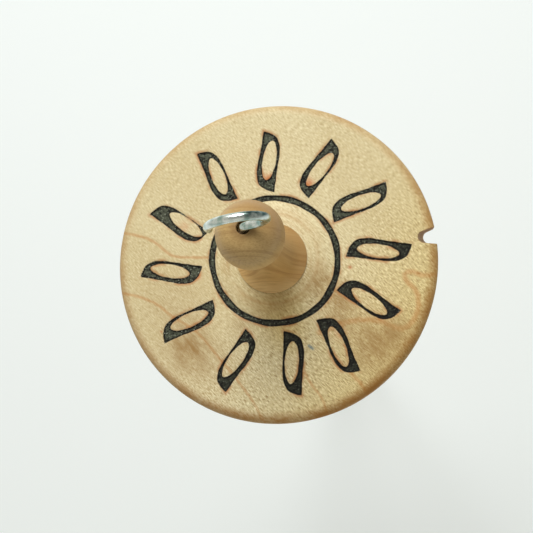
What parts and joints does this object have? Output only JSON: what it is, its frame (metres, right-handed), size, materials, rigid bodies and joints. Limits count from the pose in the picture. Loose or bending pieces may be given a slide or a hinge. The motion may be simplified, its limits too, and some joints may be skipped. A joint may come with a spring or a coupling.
{
  "type": "drop spindle",
  "caption": "Top-whorl drop spindle: a turned wooden disc whorl with a rim notch on a tapered wooden shaft, with a wire screw hook in its knob for the yarn.",
  "frame": {"origin": "on the spin axis, where the shaft leaves the flat underside of the whorl", "axes": "+Z along the spin axis towards the hook; +X from the axis towards the yarn notch in the rim"},
  "size_m": [0.076, 0.076, 0.2854],
  "materials": {
    "whorl_wood": "light maple, sanded smooth and lightly oiled, with a burned ring and burned leaf-shaped rays on the top face",
    "shaft_wood": "golden-brown turned hardwood, sanded and lightly oiled",
    "plated_wire": "bright zinc-plated steel wire"
  },
  "bodies": {
    "spindle": {"whorl": "whorl_wood", "shaft": "shaft_wood"},
    "screw_hook": {"hook": "plated_wire"}
  },
  "joints": [
    {"name": "hook_turn", "type": "hinge", "parent": "spindle", "child": "screw_hook", "pos_m": [0, 0, 0.0484], "axis": [0, 0, 1], "range_deg": [-180, 180]}
  ]
}
